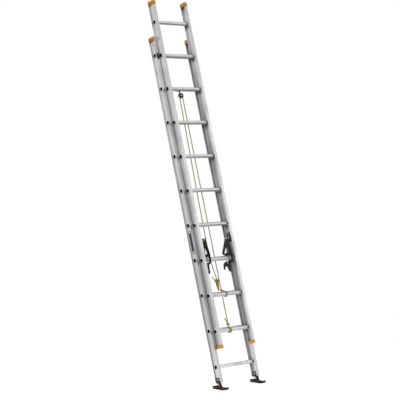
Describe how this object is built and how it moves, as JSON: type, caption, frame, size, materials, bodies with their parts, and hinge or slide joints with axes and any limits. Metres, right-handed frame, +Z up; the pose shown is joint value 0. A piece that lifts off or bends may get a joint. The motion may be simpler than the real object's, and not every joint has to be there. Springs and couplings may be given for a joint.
{
  "type": "extension ladder",
  "caption": "Aluminium extension ladder in two sections: a fly section slides in a base section, is raised by a rope over a pulley and held by sprung rung locks; stands leaned on swivel shoes.",
  "frame": {"origin": "middle of the rectangle that the leaned ladder covers on the floor, at floor level under the shoes", "axes": "+Z up from the floor, +X to the climber's right across the rungs, +Y from the climber towards the wall; the ladder leans 14.5 degrees from +Z towards +Y"},
  "size_m": [0.488, 0.9048, 3.3281],
  "materials": {
    "rail_aluminium": "extruded mill finish, handled and lightly scuffed",
    "rung_aluminium": "extruded, tread worn bright, swaged ends",
    "orange_cap": "moulded orange plastic",
    "shoe_steel": "dark brown coated pressed steel",
    "shoe_rubber": "moulded black tread rubber",
    "plated_bolt": "zinc plated",
    "rivet_steel": "plated rivets",
    "lock_black": "black coated casting",
    "lock_bracket": "black coated pressed steel",
    "pulley_steel": "dark plated strap steel",
    "pulley_black": "moulded black housing",
    "pulley_nylon": "dark nylon wheel",
    "label_black": "black film label with plain pale marks",
    "yellow_rope": "twisted yellow polypropylene rope"
  },
  "bodies": {
    "base": {"base_rail_left": "rail_aluminium", "base_rail_right": "rail_aluminium", "base_rung_01": "rung_aluminium", "base_rung_02": "rung_aluminium", "base_rung_03": "rung_aluminium", "base_rung_04": "rung_aluminium", "base_rung_05": "rung_aluminium", "base_rung_06": "rung_aluminium", "base_rung_07": "rung_aluminium", "base_rung_08": "rung_aluminium", "base_rung_09": "rung_aluminium", "base_rung_10": "rung_aluminium", "base_rung_collars": "rung_aluminium", "base_top_cap_left": "orange_cap", "base_top_cap_right": "orange_cap", "halyard_fly_line": "yellow_rope", "halyard_hank": "yellow_rope", "halyard_haul_line": "yellow_rope", "pulley_axle": "rivet_steel", "pulley_housing": "pulley_black", "pulley_strap": "pulley_steel", "rail_label": "label_black", "shoe_bracket_left": "shoe_steel", "shoe_bracket_right": "shoe_steel", "shoe_bracket_rivets": "rivet_steel", "shoe_pivot_bolts": "plated_bolt"},
    "fly": {"fly_foot_cap_left": "orange_cap", "fly_foot_cap_right": "orange_cap", "fly_rail_left": "rail_aluminium", "fly_rail_right": "rail_aluminium", "fly_rung_01": "rung_aluminium", "fly_rung_02": "rung_aluminium", "fly_rung_03": "rung_aluminium", "fly_rung_04": "rung_aluminium", "fly_rung_05": "rung_aluminium", "fly_rung_06": "rung_aluminium", "fly_rung_07": "rung_aluminium", "fly_rung_08": "rung_aluminium", "fly_rung_09": "rung_aluminium", "fly_rung_10": "rung_aluminium", "fly_rung_collars": "rung_aluminium", "fly_top_cap_left": "orange_cap", "fly_top_cap_right": "orange_cap", "halyard_knot_and_tie": "yellow_rope", "lock_mount_left": "lock_bracket", "lock_mount_right": "lock_bracket", "lock_pivot_pins": "plated_bolt", "lock_rivets": "rivet_steel", "lock_springs": "plated_bolt"},
    "lock_hook_left": {"lock_hook_left": "lock_black", "lock_finger_pin_left": "plated_bolt"},
    "lock_finger_left": {"lock_finger_left": "lock_black"},
    "shoe_left": {"shoe_left": "shoe_steel", "shoe_pad_left": "shoe_rubber"},
    "lock_hook_right": {"lock_hook_right": "lock_black", "lock_finger_pin_right": "plated_bolt"},
    "lock_finger_right": {"lock_finger_right": "lock_black"},
    "shoe_right": {"shoe_right": "shoe_steel", "shoe_pad_right": "shoe_rubber"},
    "sheave": {"pulley_sheave": "pulley_nylon"}
  },
  "joints": [
    {"name": "fly_slide", "type": "slide", "parent": "base", "child": "fly", "axis": [0, 0.2504, 0.9681], "range_m": [0, 1.8288], "deforming": ["halyard_fly_line"]},
    {"name": "lock_hook_left_pivot", "type": "hinge", "parent": "fly", "child": "lock_hook_left", "pos_m": [0, -0.13557, 1.23374], "axis": [1, 0, 0], "range_deg": [-18, 0], "stiffness_Nm_per_rad": 1.5, "springref_deg": 22.92},
    {"name": "lock_hook_right_pivot", "type": "hinge", "parent": "fly", "child": "lock_hook_right", "pos_m": [0, -0.13557, 1.23374], "axis": [1, 0, 0], "range_deg": [-18, 0], "stiffness_Nm_per_rad": 1.5, "springref_deg": 22.92},
    {"name": "lock_finger_left_pivot", "type": "hinge", "parent": "lock_hook_left", "child": "lock_finger_left", "pos_m": [0, -0.15329, 1.02141], "axis": [1, 0, 0], "range_deg": [-45, 0], "stiffness_Nm_per_rad": 0.6, "springref_deg": 17.19},
    {"name": "lock_finger_right_pivot", "type": "hinge", "parent": "lock_hook_right", "child": "lock_finger_right", "pos_m": [0, -0.15329, 1.02141], "axis": [1, 0, 0], "range_deg": [-45, 0], "stiffness_Nm_per_rad": 0.6, "springref_deg": 17.19},
    {"name": "shoe_left_swivel", "type": "hinge", "parent": "base", "child": "shoe_left", "pos_m": [0, -0.3694, 0.038], "axis": [1, 0, 0], "range_deg": [-55, 36]},
    {"name": "shoe_right_swivel", "type": "hinge", "parent": "base", "child": "shoe_right", "pos_m": [0, -0.3694, 0.038], "axis": [1, 0, 0], "range_deg": [-55, 36]},
    {"name": "sheave_spin", "type": "hinge", "parent": "base", "child": "sheave", "pos_m": [-0.032, 0.23543, 2.48056], "axis": [0, -0.9681, 0.2504], "continuous": true}
  ]
}
